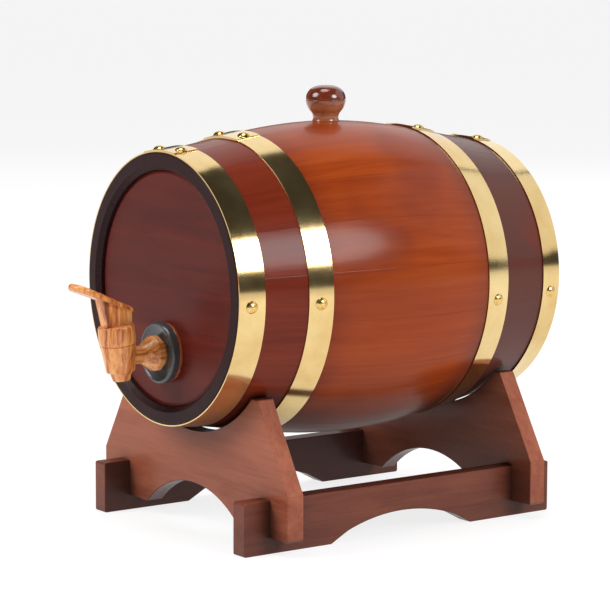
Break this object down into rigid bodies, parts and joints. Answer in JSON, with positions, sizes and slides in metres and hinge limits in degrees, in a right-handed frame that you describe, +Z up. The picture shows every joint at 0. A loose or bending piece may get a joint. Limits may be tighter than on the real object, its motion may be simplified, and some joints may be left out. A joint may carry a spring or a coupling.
{
  "type": "oak wine barrel",
  "caption": "Small lacquered oak table barrel with brass hoops, a turned bung and a wooden plug tap, lying on a two-board cradle; it holds and serves wine.",
  "frame": {"origin": "on the floor, under the middle of the whole object's bounding box", "axes": "+Z up, Y along the barrel with the tapped head towards -Y, +X to the right when the tap is looked at from in front"},
  "size_m": [0.2108, 0.3254, 0.2841],
  "materials": {
    "stave_wood": "gloss lacquer",
    "head_wood": "gloss lacquer",
    "hoop_brass": "fine brushed",
    "nail_brass": "polished",
    "bung_wood": "gloss lacquer",
    "ring_wood": "satin",
    "bush_rubber": "gloss",
    "tap_wood": "satin",
    "cradle_wood": "satin lacquer"
  },
  "bodies": {
    "cradle": {"cradle_front_board": "cradle_wood", "cradle_back_board": "cradle_wood", "cradle_left_stretcher": "cradle_wood", "cradle_right_stretcher": "cradle_wood"},
    "barrel": {"stave_01": "stave_wood", "stave_02": "stave_wood", "stave_03": "stave_wood", "stave_04": "stave_wood", "stave_05": "stave_wood", "stave_06": "stave_wood", "stave_07": "stave_wood", "stave_08": "stave_wood", "stave_09": "stave_wood", "stave_10": "stave_wood", "stave_11": "stave_wood", "stave_12": "stave_wood", "stave_13": "stave_wood", "stave_14": "stave_wood", "stave_15": "stave_wood", "stave_16": "stave_wood", "stave_17": "stave_wood", "stave_18": "stave_wood", "stave_19": "stave_wood", "stave_20": "stave_wood", "front_head_bottom_board": "head_wood", "front_head_middle_board": "head_wood", "front_head_top_board": "head_wood", "back_head_bottom_board": "head_wood", "back_head_middle_board": "head_wood", "back_head_top_board": "head_wood", "front_chime_hoop": "hoop_brass", "front_bilge_hoop": "hoop_brass", "back_bilge_hoop": "hoop_brass", "back_chime_hoop": "hoop_brass", "front_chime_hoop_nails": "nail_brass", "front_bilge_hoop_nails": "nail_brass", "back_bilge_hoop_nails": "nail_brass", "back_chime_hoop_nails": "nail_brass", "tap_backing_ring": "ring_wood", "tap_bush": "bush_rubber", "tap_stem": "tap_wood", "tap_body": "tap_wood"},
    "bung": {"bung": "bung_wood"},
    "tap_key": {"tap_key": "tap_wood"}
  },
  "joints": [
    {"name": "barrel_lift", "type": "slide", "parent": "cradle", "child": "barrel", "axis": [0, 0, 1], "range_m": [0, 0.08]},
    {"name": "bung_pull", "type": "slide", "parent": "barrel", "child": "bung", "axis": [0, 0, 1], "range_m": [0, 0.05]},
    {"name": "key_turn", "type": "hinge", "parent": "barrel", "child": "tap_key", "pos_m": [0, -0.12803, 0.1174], "axis": [0, -0.1132, 0.9936], "range_deg": [-90, 90]}
  ]
}
